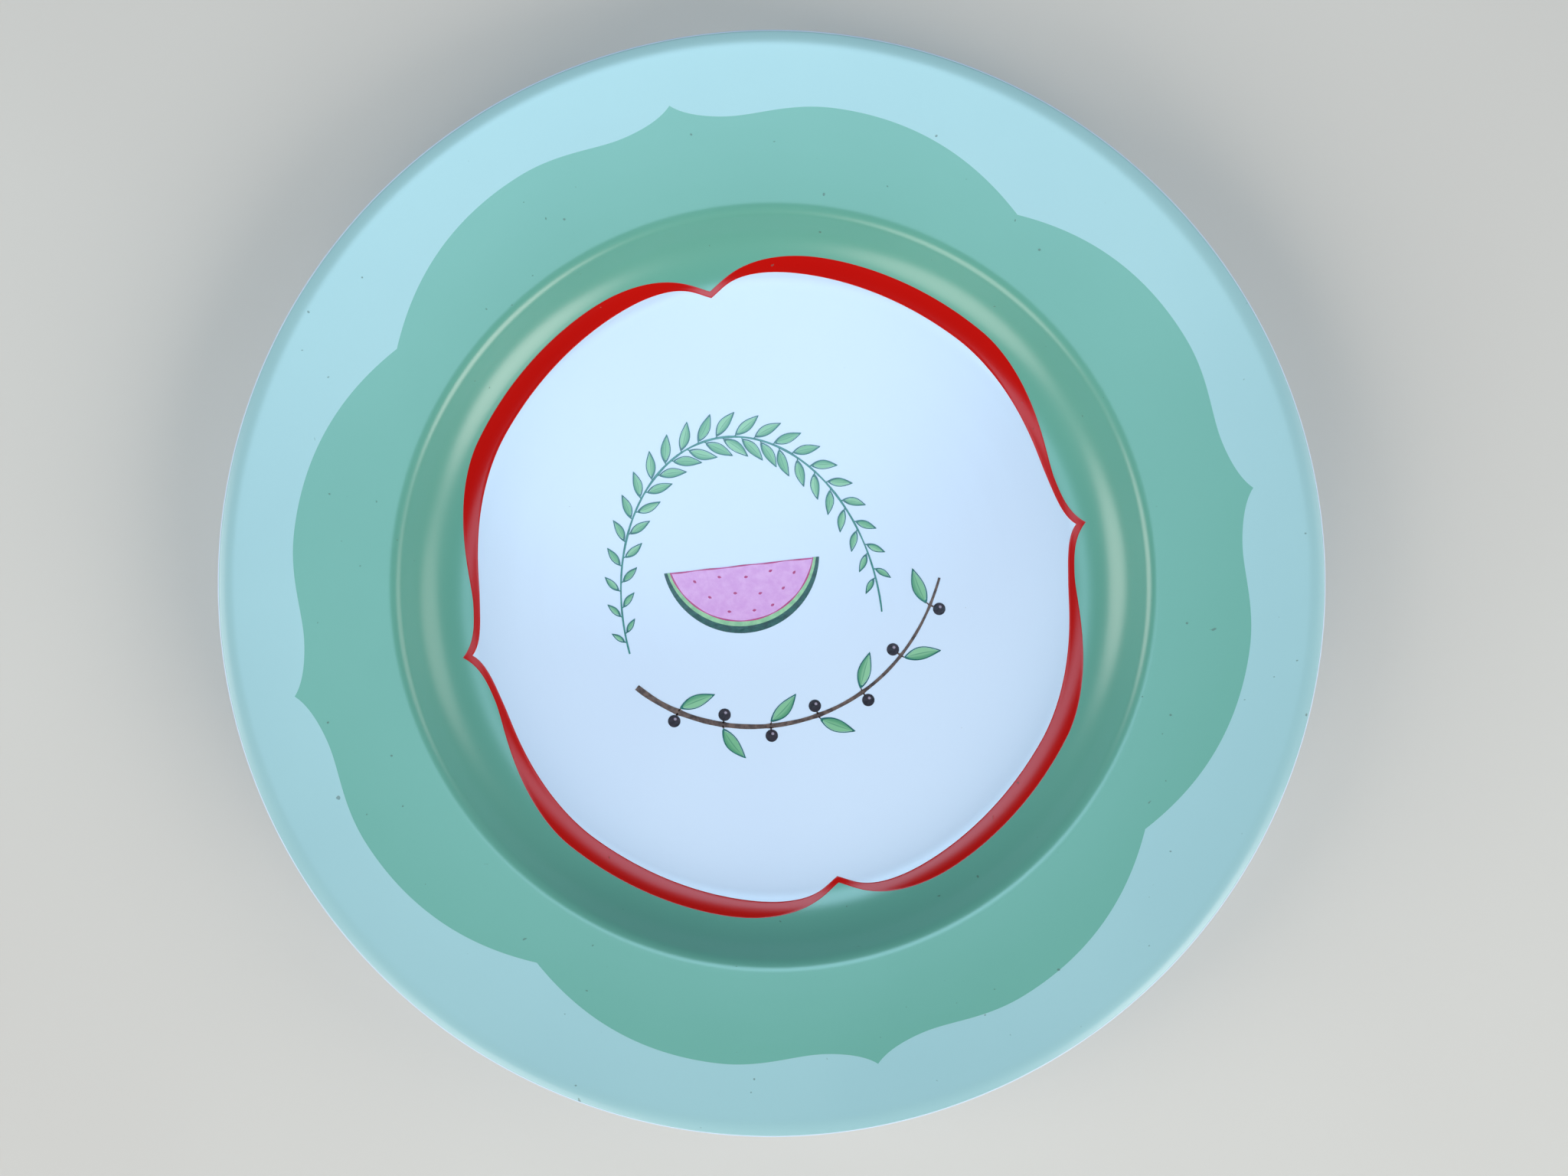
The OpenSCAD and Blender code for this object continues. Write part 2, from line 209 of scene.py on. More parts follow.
# ---- Outlines ---------------------------------------------------------------------------
def bezier(p, t):
    p = np.asarray(p, float)
    t = np.asarray(t)[:, None]
    return (1 - t) ** 3 * p[0] + 3 * (1 - t) ** 2 * t * p[1] + 3 * (1 - t) * t * t * p[2] + t ** 3 * p[3]


def radius_round(stretches, sweep, degrees):
    """Radius at each angle of an outline that is mirrored at sweep and repeated round the plate."""
    curve = np.concatenate([bezier(s, np.linspace(0, 1, 200)) for s in stretches])
    order = np.argsort(curve[:, 0], kind="stable")
    folded = np.abs((degrees + sweep) % (2 * sweep) - sweep)
    return np.interp(folded, curve[order, 0], curve[order, 1])


def border_radius(degrees):
    return radius_round([
        [[0, border_point_r], [1.8, border_point_r - 3.5], [5.4, border_valley_r], [7.2, border_valley_r]],
        [[7.2, border_valley_r], [10.6, border_valley_r], [14.2, border_crown_r], [19.2, border_crown_r]],
        [[19.2, border_crown_r], [30.2, border_crown_r], [37, border_notch_r + 5], [45, border_notch_r]],
    ], 45, degrees)


def red_radius(degrees, inner):
    """The red line's outer or inner edge; the inner edge's features lag a little behind."""
    lag = (1.6, 3.0, 7.0) if inner else (0, 0, 0)
    width = (2.4, 1.7, 5.0, 4.1, 1.7) if inner else (0, 0, 0, 0, 0)
    point, valley, shoulder, crown, notch = (
        well_r - inset - w for inset, w in zip((3.8, 8.2, 1.3, 0.6, 7.8), width))
    v, s, c = 9.5 + lag[0], 39 + lag[1], 70 + lag[2]
    return radius_round([
        [[0, point], [1.9, point - 3], [v - 5, valley], [v, valley]],
        [[v, valley], [v + 5.5, valley], [s - 10, shoulder - 0.1], [s, shoulder]],
        [[s, shoulder], [s + 14, shoulder + 0.15], [c - 6, crown], [c, crown]],
        [[c, crown], [c + (90 - c) * 0.7, crown], [86.8, notch + 2.2], [90, notch]],
    ], 90, degrees)


# ---- Mesh building ----------------------------------------------------------------------
def add_piece(name, vertices_mm, faces, material, node, attributes=None, smooth=True):
    """A mesh from millimetres that stands for a CAD node and rides with the plate."""
    mesh = bpy.data.meshes.new(name)
    mesh.from_pydata((np.asarray(vertices_mm, float) * MM).tolist(), [], [list(map(int, f)) for f in faces])
    mesh.validate()
    if smooth:
        mesh.shade_smooth()
        mesh.set_sharp_from_angle(angle=math.radians(40))
    else:
        mesh.shade_flat()
    for key, values in (attributes or {}).items():
        mesh.attributes.new(key, "FLOAT", "POINT").data.foreach_set("value", np.asarray(values, np.float32))
    mesh.materials.append(material)
    obj = bpy.data.objects.new(name, mesh)
    bpy.context.scene.collection.objects.link(obj)
    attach(obj, "root")
    if node:
        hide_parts(node)
    return obj


def lathe(sections, columns):
    """Vertices and faces of closed sections turned round the axis. Points on the axis become poles."""
    vertices, faces = [], []
    angles = np.radians(np.arange(columns) * 360 / columns)
    for section in sections:
        rings = []
        for r, z in section:
            base = len(vertices)
            if r < 1e-6:
                vertices.append((0, 0, z))
                rings.append([base] * columns)
            else:
                vertices.extend(np.stack([r * np.cos(angles), r * np.sin(angles), np.full(columns, z)], 1))
                rings.append(list(range(base, base + columns)))
        closed = section[0][0] > 1e-6
        pairs = list(zip(rings, rings[1:])) + ([(rings[-1], rings[0])] if closed else [])
        for low, high in pairs:
            for j in range(columns):
                k = (j + 1) % columns
                quad = [low[j], low[k], high[k], high[j]]
                quad = [q for i, q in enumerate(quad) if q not in quad[:i]]
                if len(quad) > 2:
                    faces.append(quad[::-1])
    return vertices, faces


def enamel_layer(name, s_rows, tops, material, node):
    """A thin closed layer on the decorated face. s_rows[row, column] is the running length of each
    point and tops[row] the height of the layer's surface over the glaze there."""
    rows, columns = s_rows.shape
    angles = np.radians(np.arange(columns) * 360 / columns)
    p = face_at(s_rows)
    sheets = []
    for height in (np.asarray(tops)[:, None], -layer_sink):
        r = p[..., 0] + p[..., 2] * height
        z = p[..., 1] + p[..., 3] * height
        sheets.append(np.stack([r * np.cos(angles), r * np.sin(angles), z], -1).reshape(-1, 3))
    index = np.arange(rows * columns).reshape(rows, columns)
    nxt = np.roll(index, -1, axis=1)
    under = index + rows * columns
    under_nxt = nxt + rows * columns
    faces = []
    quads = np.stack([index[:-1], index[1:], nxt[1:], nxt[:-1]], -1).reshape(-1, 4)
    faces.append(quads)
    faces.append(quads[:, ::-1] + rows * columns)
    faces.append(np.stack([index[0], nxt[0], under_nxt[0], under[0]], -1))
    faces.append(np.stack([index[-1], under[-1], under_nxt[-1], nxt[-1]], -1))
    return add_piece(name, np.concatenate(sheets), np.concatenate(faces), material, node)


def rows_between(starts, stops, counts):
    """Rows of running lengths that step evenly through fixed and changing stations."""
    stations = np.broadcast_arrays(*starts, *stops)
    out = [stations[0]]
    for a, b, n in zip(stations[:-1], stations[1:], counts):
        for k in range(1, n + 1):
            out.append(a + (b - a) * k / n)
    return np.array(out)


# ---- Materials --------------------------------------------------------------------------
def srgb(red, green, blue):
    """A colour from its 0 to 255 screen values."""
    def linear(c):
        c /= 255
        return c / 12.92 if c <= 0.04045 else ((c + 0.055) / 1.055) ** 2.4
    return (linear(red), linear(green), linear(blue), 1.0)


class Nodes:
    """Short calls to add and join shader nodes."""

    def __init__(self, name):
        self.material = bpy.data.materials.new(name)
        self.material.use_nodes = True
        self.tree = self.material.node_tree
        self.shader = self.tree.nodes["Principled BSDF"]
        self.coordinate = self.add("ShaderNodeTexCoord").outputs["Object"]

    def add(self, kind, **settings):
        node = self.tree.nodes.new(kind)
        for key, value in settings.items():
            setattr(node, key, value)
        return node

    def put(self, value, socket):
        if isinstance(value, bpy.types.NodeSocket):
            self.tree.links.new(value, socket)
        else:
            socket.default_value = value

    def noise(self, scale, detail=3.0, roughness=0.5, vector=None):
        node = self.add("ShaderNodeTexNoise")
        self.put(vector or self.coordinate, node.inputs["Vector"])
        node.inputs["Scale"].default_value = scale
        node.inputs["Detail"].default_value = detail
        node.inputs["Roughness"].default_value = roughness
        return node.outputs["Fac"]

    def cells(self, scale, vector=None):
        node = self.add("ShaderNodeTexVoronoi")
        self.put(vector or self.coordinate, node.inputs["Vector"])
        node.inputs["Scale"].default_value = scale
        return node.outputs

    def span(self, value, low, high, to_low=0.0, to_high=1.0):
        node = self.add("ShaderNodeMapRange", interpolation_type="SMOOTHSTEP")
        for key, v in zip(("Value", "From Min", "From Max", "To Min", "To Max"), (value, low, high, to_low, to_high)):
            self.put(v, node.inputs[key])
        return node.outputs["Result"]

    def maths(self, operation, a, b=0.0):
        node = self.add("ShaderNodeMath", operation=operation)
        self.put(a, node.inputs[0])
        self.put(b, node.inputs[1])
        return node.outputs[0]

    def mix(self, factor, a, b, blend="MIX"):
        node = self.add("ShaderNodeMix", data_type="RGBA", blend_type=blend)
        self.put(factor, node.inputs[0])
        self.put(a, node.inputs[6])
        self.put(b, node.inputs[7])
        return node.outputs[2]

    def attribute(self, name):
        return self.add("ShaderNodeAttribute", attribute_name=name).outputs["Fac"]

    def radius(self):
        """Distance from the plate's axis, in metres."""
        node = self.add("ShaderNodeVectorMath", operation="MULTIPLY")
        self.put(self.coordinate, node.inputs[0])
        node.inputs[1].default_value = (1, 1, 0)
        length = self.add("ShaderNodeVectorMath", operation="LENGTH")
        self.put(node.outputs[0], length.inputs[0])
        return length.outputs["Value"]

    def bump(self, height, distance, strength=1.0, normal=None):
        node = self.add("ShaderNodeBump")
        node.inputs["Strength"].default_value = strength
        node.inputs["Distance"].default_value = distance
        self.put(height, node.inputs["Height"])
        if normal:
            self.put(normal, node.inputs["Normal"])
        return node.outputs["Normal"]

    def finish(self, color, roughness, normal=None, coat=0.0, coat_roughness=0.05, coat_normal=None, specular=0.5):
        self.put(color, self.shader.inputs["Base Color"])
        self.put(roughness, self.shader.inputs["Roughness"])
        self.shader.inputs["Specular IOR Level"].default_value = specular
        self.shader.inputs["Coat Weight"].default_value = coat
        self.shader.inputs["Coat Roughness"].default_value = coat_roughness
        if normal:
            self.put(normal, self.shader.inputs["Normal"])
        if coat_normal or normal:
            self.put(coat_normal or normal, self.shader.inputs["Coat Normal"])
        return self.material


def turning_height(m, strength):
    """Faint rings left by turning the clay, and the slow waver of a poured glaze."""
    rings = m.add("ShaderNodeTexNoise", noise_dimensions="1D")
    m.put(m.maths("MULTIPLY", m.radius(), 230.0), rings.inputs["W"])
    rings.inputs["Scale"].default_value = 1.0
    rings.inputs["Detail"].default_value = 2.0
    waver = m.noise(28.0, 2.0)
    peel = m.noise(420.0, 2.0)
    total = m.maths("ADD", m.maths("MULTIPLY", rings.outputs["Fac"], 0.5 * strength), m.maths("MULTIPLY", waver, 0.9))
    return m.maths("ADD", total, m.maths("MULTIPLY", peel, 0.03))


def glazed_white():
    m = Nodes("glazed_white")
    cloud = m.span(m.noise(9.0, 3.0), 0.3, 0.7)
    base = m.mix(cloud, srgb(203, 221, 244), srgb(207, 225, 246))
    speck = m.cells(260.0)
    dot = m.span(speck["Distance"], 0.035, 0.02)
    lone = m.span(m.noise(55.0, 1.0), 0.66, 0.7)
    base = m.mix(m.maths("MULTIPLY", m.maths("MULTIPLY", dot, lone), 0.5), base, srgb(120, 118, 116))
    height = turning_height(m, 1.0)
    normal = m.bump(height, 0.00006)
    rough = m.span(m.noise(40.0, 4.0), 0.3, 0.7, 0.09, 0.13)
    return m.finish(base, rough, normal, specular=0.35)


def bisque():
    m = Nodes("bisque")
    grain = m.noise(1600.0, 4.0, 0.65)
    base = m.mix(m.span(grain, 0.35, 0.7), srgb(226, 223, 214), srgb(240, 238, 232))
    scuff = m.span(m.noise(120.0, 4.0, 0.7), 0.55, 0.72)
    base = m.mix(m.maths("MULTIPLY", scuff, 0.45), base, srgb(176, 170, 158))
    normal = m.bump(grain, 0.00012)
    return m.finish(base, 0.85, normal, specular=0.3)


def enamel(name, light, deep, roughness=0.27, specular=0.7):
    """An on-glaze enamel: an even tone with a slow drift, a fine stipple and a few pinholes."""
    m = Nodes(name)
    drift = m.span(m.noise(14.0, 3.0), 0.3, 0.7)
    base = m.mix(drift, light, deep)
    stipple = m.span(m.noise(700.0, 2.0), 0.35, 0.65)
    base = m.mix(m.maths("MULTIPLY", stipple, 0.04), base, deep)
    pit = m.span(m.noise(700.0, 0.0), 0.86, 0.9)
    base = m.mix(m.maths("MULTIPLY", pit, 0.6), base, srgb(70, 90, 80))
    height = turning_height(m, 0.35)
    height = m.maths("SUBTRACT", height, m.maths("MULTIPLY", pit, 0.6))
    normal = m.bump(height, 0.00006)
    return m.finish(base, roughness, normal, specular=specular)


def printed(name, light, deep, mottle=600.0):
    """A printed colour with the mottle of a brush."""
    m = Nodes(name)
    tone = m.span(m.noise(mottle, 4.0, 0.6), 0.3, 0.7)
    base = m.mix(tone, light, deep)
    normal = m.bump(m.noise(900.0, 2.0), 0.00003)
    return m.finish(base, 0.22, normal)


def leaf_print():
    """Leaf green, washed darker towards one side of each leaf, with a thin middle vein."""
    m = Nodes("leaf_green_print")
    across = m.attribute("across")
    plain = m.mix(m.attribute("tone"), srgb(136, 192, 152), srgb(112, 176, 134))
    washed = m.mix(m.span(across, -0.1, 0.85), plain, srgb(84, 152, 114))
    beside_vein = m.span(m.maths("ABSOLUTE", across), 0.04, 0.16)
    vein = m.maths("MULTIPLY", m.maths("SUBTRACT", 1.0, beside_vein), 0.6)
    normal = m.bump(m.noise(900.0, 2.0), 0.00003)
    return m.finish(m.mix(vein, washed, srgb(52, 124, 98)), 0.22, normal)


def berry_print():
    """Near black berries, each with a small painted highlight."""
    m = Nodes("berry_print")
    right = m.maths("SUBTRACT", m.attribute("along"), 0.62)
    up = m.maths("MULTIPLY", m.maths("SUBTRACT", m.attribute("across"), 0.3), 0.5)
    away = m.maths("ADD", m.maths("MULTIPLY", right, right), m.maths("MULTIPLY", up, up))
    plain = m.mix(m.span(m.noise(600.0, 3.0), 0.3, 0.7), srgb(46, 36, 48), srgb(26, 20, 30))
    normal = m.bump(m.noise(900.0, 2.0), 0.00003)
    return m.finish(m.mix(m.span(away, 0.006, 0.02), srgb(150, 140, 160), plain), 0.22, normal)


materials = {
    "glaze": glazed_white(),
    "bisque": bisque(),
    "mint": enamel("mint_enamel", srgb(158, 200, 204), srgb(154, 196, 201)),
    "green": enamel("green_enamel", srgb(102, 169, 152), srgb(98, 165, 148)),
    "red": enamel("red_enamel", srgb(192, 10, 1), srgb(184, 6, 1), 0.2, 0.3),
    "stem": printed("stem_print", srgb(58, 134, 128), srgb(38, 112, 108)),
    "ink": printed("leaf_ink_print", srgb(36, 112, 104), srgb(24, 90, 86)),
    "leaf": leaf_print(),
    "rind": printed("rind_print", srgb(16, 82, 72), srgb(6, 54, 52)),
    "pith": printed("pith_print", srgb(148, 198, 152), srgb(122, 178, 134)),
    "flesh": printed("flesh_print", srgb(214, 164, 222), srgb(204, 148, 214), 500.0),
    "seed": printed("seed_print", srgb(176, 50, 120), srgb(160, 34, 104)),
    "twig": printed("twig_print", srgb(112, 92, 84), srgb(60, 46, 44)),
    "berry": berry_print(),
}

# ---- The fired body and its glaze ---------------------------------------------------------
body_section = np.concatenate([shifted(upper_path, -glaze_t), shifted(tread_path, -glaze_t), shifted(recess_path, -glaze_t)])
vertices, faces = lathe([body_section], 360)
add_piece("porcelain_body_fired", vertices, faces, materials["bisque"], "porcelain_body")


def glaze_band(rows, from_end):
    """The glaze over one stretch, thinning in a soft bead to its wiped edge."""
    lengths = np.concatenate([[0], np.cumsum(np.linalg.norm(np.diff(rows[:, :2], axis=0), axis=1))])
    to_edge = lengths[-1] - lengths if from_end else lengths
    bead = 0.6
    share = np.clip(to_edge / bead, 0.04, 1)
    depth = -glaze_t * (1 - np.sqrt(1 - (1 - share) ** 2))
    return np.concatenate([shifted(rows, depth), shifted(rows, -glaze_t - 0.0)[::-1]])


def with_fine_edge(rows, from_end, reach=0.6, count=8):
    """Adds points close to the wiped edge, where the glaze's bead needs them."""
    if not from_end:
        return with_fine_edge(rows[::-1], True, reach, count)[::-1]
    a, b = rows[-2], rows[-1]
    length = np.linalg.norm(b[:2] - a[:2])
    start = a + (b - a) * max(0.0, 1 - reach / length)
    extra = [start + (b - start) * k / count for k in range(count + 1)]
    return np.concatenate([rows[:-1], extra])


upper_fine = with_fine_edge(upper_path, True)
recess_fine = with_fine_edge(recess_path, False)
vertices, faces = lathe([glaze_band(upper_fine, True), glaze_band(recess_fine, False)], 720)
add_piece("glaze_coat_clear", vertices, faces, materials["glaze"], "glaze_coat")

# ---- The enamels ----------------------------------------------------------------------------
degrees = np.arange(COLUMNS) * 360 / COLUMNS
s_border = s_of_radius(border_radius(degrees))
s_red_out = s_of_radius(red_radius(degrees, False))
s_red_in = s_of_radius(red_radius(degrees, True))
s_mid_slope = s_of_radius(well_r + slope_w * 0.45)
s_past_crest = s_of_radius(crest_r + 5)
s_roll = s_of_radius(plate_r - lip_roll_w - 2.0)
s_lip = s_of_radius(plate_r - 1.6)
s_end = face_s[-1]

rim_rows = rows_between([s_border, s_roll], [s_lip, s_end], [12, 14, 10])
rim_tops = np.full(len(rim_rows), enamel_t)
rim_tops[-4:] = enamel_t * np.array([0.9, 0.7, 0.45, 0.1])
enamel_layer("rim_enamel_mint", rim_rows, rim_tops, materials["mint"], "rim_enamel")

border_rows = rows_between([s_red_out, s_mid_slope], [s_past_crest, s_border], [22, 30, 16])
enamel_layer("border_enamel_green", border_rows, np.full(len(border_rows), enamel_t), materials["green"],
             "border_enamel")

edge = 0.2
red_rows = rows_between([s_red_in, s_red_in + edge * 0.3, s_red_in + edge], [s_red_out - edge, s_red_out - edge * 0.3, s_red_out],
                        [1, 2, 8, 2, 1])
red_tops = np.full(len(red_rows), red_t)
red_tops[:4] = red_t * np.array([0.15, 0.6, 0.85, 1.0])
red_tops[-4:] = red_t * np.array([1.0, 0.95, 0.85, 0.7])
enamel_layer("red_line_enamel", red_rows, red_tops, materials["red"], "red_line")

# ---- The printed motif ----------------------------------------------------------------------
ARCH_ORIGIN = np.array([-7.0, -5.0])
ARCH_HALF_W = 33.0
ARCH_H = 46.0
ARCH_PAIRS = 22
ARCH_FROM, ARCH_TO = 184.0, -8.0
LEAF_LEN, LEAF_W = 8.0, 2.7
LEAF_LEAN = 42.0
LEAF_GAP = 0.12
LEAF_END_SHARE = 0.5
TWIG_LEAF_SHARE = 1.25
TWIG_LEAVES = 7
INK_W = 0.3
STEM_W = 0.6
TWIG_W = 1.7
BERRY_D = 3.2
MELON_ORIGIN = np.array([-7.0, 8.0])
MELON_TILT = math.radians(-6)
MELON_W, MELON_DEPTH = 40.0, 17.5
RIND_T, PITH_T = 1.8, 1.2
SEED_LEN = 1.1

rng = np.random.default_rng(7)


def arch_at(t):
    a = np.radians(ARCH_FROM + (ARCH_TO - ARCH_FROM) * np.asarray(t))
    return ARCH_ORIGIN + np.stack([ARCH_HALF_W * np.cos(a), ARCH_H * np.sin(a)], -1)


def twig_at(t):
    return bezier([[-40, -17], [-22, -40], [22, -44], [42, -6]], np.atleast_1d(t))


def sides_of(points):
    """Unit normals, to the left, along a curve given by its points."""
    along = np.gradient(points, axis=0)
    along /= np.linalg.norm(along, axis=1, keepdims=True)
    return np.stack([-along[:, 1], along[:, 0]], 1)


class Print:
    """Collects flat printed shapes, each a grid of points with a lower and an upper face."""

    def __init__(self, lift=0.0):
        self.vertices, self.faces, self.along, self.across, self.tone = [], [], [], [], []
        self.low = floor_z - layer_sink
        self.high = floor_z + print_t + lift

    def grid(self, points, along, across, tone=0.5, ring=False):
        """points[i, j] are places on the plate; ring closes the grid along its first axis."""
        rows, columns = points.shape[:2]
        base = len(self.vertices)
        for z in (self.high, self.low):
            self.vertices.extend(np.concatenate([points.reshape(-1, 2), np.full((rows * columns, 1), z)], 1))
            self.along.extend(np.broadcast_to(along, (rows, columns)).ravel())
            self.across.extend(np.broadcast_to(across, (rows, columns)).ravel())
            self.tone.extend([tone] * rows * columns)
        index = base + np.arange(rows * columns).reshape(rows, columns)
        a, b = (index, np.roll(index, -1, 0)) if ring else (index[:-1], index[1:])
        quads = np.stack([a[:, :-1], b[:, :-1], b[:, 1:], a[:, 1:]], -1).reshape(-1, 4)
        drop = rows * columns
        walls = [np.stack([a[:, 0], a[:, 0] + drop, b[:, 0] + drop, b[:, 0]], -1),
                 np.stack([a[:, -1], b[:, -1], b[:, -1] + drop, a[:, -1] + drop], -1)]
        if not ring:
            for row, flip in ((index[0], False), (index[-1], True)):
                wall = np.stack([row[:-1], row[1:], row[1:] + drop, row[:-1] + drop], -1)
                walls.append(wall[:, ::-1] if flip else wall)
        up = np.cross(points[1, 0] - points[0, 0], points[0, -1] - points[0, 0]) > 0
        for group in [quads[:, ::-1] + 0, quads + drop] + [w[:, ::-1] for w in walls]:
            self.faces.extend(group if not up else group[:, ::-1])

    def piece(self, name, material, node):
        return add_piece(name, self.vertices, self.faces, material, node,
                         {"along": self.along, "across": self.across, "tone": self.tone}, smooth=False)


def strip(out, points, widths, tone=0.5):
    """A strip along a curve, three points wide."""
    side = sides_of(points)
    across = np.array([-1.0, 0.0, 1.0])
    grid = points[:, None] + side[:, None] * (np.asarray(widths)[:, None, None] / 2) * across[None, :, None]
    out.grid(grid, np.linspace(0, 1, len(points))[:, None], across[None], tone)


def leaf_half_width(t):
    return np.sin(np.pi * t ** 0.85)


def placed(points, place, heading):
    c, s = math.cos(heading), math.sin(heading)
    return place + points @ np.array([[c, s], [-s, c]])


def add_leaf(ink, fill, place, heading, share):
    """One leaf: its painted oval, and the inked line round it, heavier on one side."""
    length, width = LEAF_LEN * share, LEAF_W * share
    bend = rng.uniform(-0.05, 0.05) * length
    turn = heading + rng.uniform(-0.05, 0.05)
    tone = rng.uniform()
    shade_side = rng.choice([-1.0, 1.0])
    t = np.linspace(0, 1, 21)
    inset = INK_W * length / width
    grid_across = np.linspace(-1, 1, 7)

    def oval(line, t, across):
        x = line * length / width + (length - 2 * line * length / width) * t
        y = (width / 2 - line) * leaf_half_width(t)[:, None] * across[None]
        sway = bend * np.sin(np.pi * x / length)
        return np.stack([np.broadcast_to(x[:, None], y.shape), y + sway[:, None]], -1)

    tip = np.clip(t, 0.012, 0.988)
    inner = oval(INK_W * 0.9, tip, grid_across)
    fill.grid(placed(inner.reshape(-1, 2), place, turn).reshape(inner.shape), t[:, None],
              (grid_across * shade_side)[None], tone)
    outer_up = oval(0.0, tip, np.array([1.0]))[:, 0]
    outer_down = oval(0.0, tip, np.array([-1.0]))[::-1][1:-1, 0]
    inner_up = oval(INK_W * (0.95 if shade_side > 0 else 0.7), tip, np.array([1.0]))[:, 0]
    inner_down = oval(INK_W * (0.95 if shade_side < 0 else 0.7), tip, np.array([-1.0]))[::-1][1:-1, 0]
    ring = np.stack([np.concatenate([outer_up, outer_down]), np.concatenate([inner_up, inner_down])], 1)
    ink.grid(placed(ring.reshape(-1, 2), place, turn).reshape(ring.shape), 0.5, np.array([[1.0, 0.0]]), tone, ring=True)


stem = Print()
ink = Print(lift=0.004)
fill = Print()
t = np.linspace(0, 1, 161)
weight = 1 + 0.12 * np.sin(t * 41) + 0.1 * np.sin(t * 97 + 1)
strip(stem, arch_at(t), STEM_W * 0.9 * weight * (0.75 + 0.25 * np.sin(np.pi * t)))


def along_curve(curve, t, side, half_width):
    """Place and heading of what grows from one side of a curve at t."""
    near, here, far = curve(t - 0.01), curve(t), curve(t + 0.01)
    near, here, far = (np.asarray(p).reshape(2) for p in (near, here, far))
    forward = (far - near) / np.linalg.norm(far - near)
    outward = np.array([-forward[1], forward[0]]) * side
    return here + outward * (half_width + LEAF_GAP), math.atan2(forward[1], forward[0]), outward


def add_stalk(out, place, outward, heading):
    """The short line that joins a leaf to its stem."""
    ahead = np.array([math.cos(heading), math.sin(heading)])
    s = np.linspace(0, 1, 5)[:, None]
    points = (place - outward * (LEAF_GAP + 0.1)) * (1 - s) + (place + ahead * 0.45) * s
    strip(out, points, np.linspace(0.34, 0.26, 5))


for i in range(ARCH_PAIRS):
    for side in (-1, 1):
        t_leaf = 0.02 + 0.95 * (i + (0 if side > 0 else 0.35)) / ARCH_PAIRS
        share = LEAF_END_SHARE + (1 - LEAF_END_SHARE) * math.sin(math.pi * t_leaf)
        place, heading, outward = along_curve(arch_at, t_leaf, side, STEM_W / 2)
        heading += side * math.radians(LEAF_LEAN)
        add_stalk(stem, place, outward, heading)
        add_leaf(ink, fill, place, heading, share)

twig = Print()
berries = Print()
t = np.linspace(0, 1, 121)
knots = sum(0.22 * np.exp(-((t - k) / 0.008) ** 2) for k in np.linspace(0.14, 0.94, TWIG_LEAVES))
strip(twig, twig_at(t), TWIG_W * (1 - 0.6 * t) * (0.9 + knots + 0.05 * np.sin(t * 60)))
for i in range(TWIG_LEAVES):
    t_leaf = 0.14 + 0.8 * i / (TWIG_LEAVES - 1)
    side = 1 if i % 2 == 0 else -1
    place, heading, outward = along_curve(twig_at, t_leaf, side, TWIG_W / 2)
    heading += side * math.radians(LEAF_LEAN)
    add_stalk(twig, place, outward * 3, heading)
    add_leaf(ink, fill, place, heading, TWIG_LEAF_SHARE)
    place, heading, outward = along_curve(twig_at, t_leaf, -side, TWIG_W / 2)
    centre = place + outward * BERRY_D / 2
    berry_t = np.clip(np.linspace(0, 1, 25), 0.004, 0.996)
    chord = BERRY_D / 2 * np.sqrt(1 - (2 * berry_t - 1) ** 2)
    disc_across = np.linspace(-1, 1, 9)
    disc = np.stack([np.broadcast_to((BERRY_D * (berry_t - 0.5))[:, None], (25, 9)), chord[:, None] * disc_across], -1)
    berries.grid(disc + centre, berry_t[:, None], disc_across[None], rng.uniform())
    s = np.linspace(0, 1, 4)[:, None]
    strip(twig, (place - outward * (LEAF_GAP + 0.5)) * (1 - s) + (centre - outward * BERRY_D * 0.46) * s, np.linspace(0.5, 0.4, 4))

stem.piece("arch_stem_print", materials["stem"], "arch_stem")
ink.piece("leaf_ink_print", materials["ink"], "leaf_ink")
fill.piece("leaf_fill_print", materials["leaf"], "leaf_fill")
twig.piece("twig_print", materials["twig"], "twig")
berries.piece("berries_print", materials["berry"], "berries")


def on_melon(points):
    c, s = math.cos(MELON_TILT), math.sin(MELON_TILT)
    return MELON_ORIGIN + points @ np.array([[c, s], [-s, c]])


def round_arc(half, depth, count, sag=0.0):
    """Points of one round of the slice, from its left point along the bottom to its right point."""
    radius = (half * half + depth * depth) / (2 * depth)
    reach = math.acos((radius - depth) / radius)
    a = np.linspace(-reach, reach, count)
    return np.stack([radius * np.sin(a), radius - depth - radius * np.cos(a)], 1)


half = MELON_W / 2
rind_inner = (half - RIND_T * 0.45, MELON_DEPTH - RIND_T)
pith_inner = (half - RIND_T * 0.45 - PITH_T * 0.55, MELON_DEPTH - RIND_T - PITH_T)
count = 121


def crescent(outer, inner, rows=5):
    a, b = round_arc(*outer, count), round_arc(*inner, count)
    f = np.linspace(0, 1, rows)[None, :, None]
    return on_melon((a[:, None] * (1 - f) + b[:, None] * f).reshape(-1, 2)).reshape(count, rows, 2)


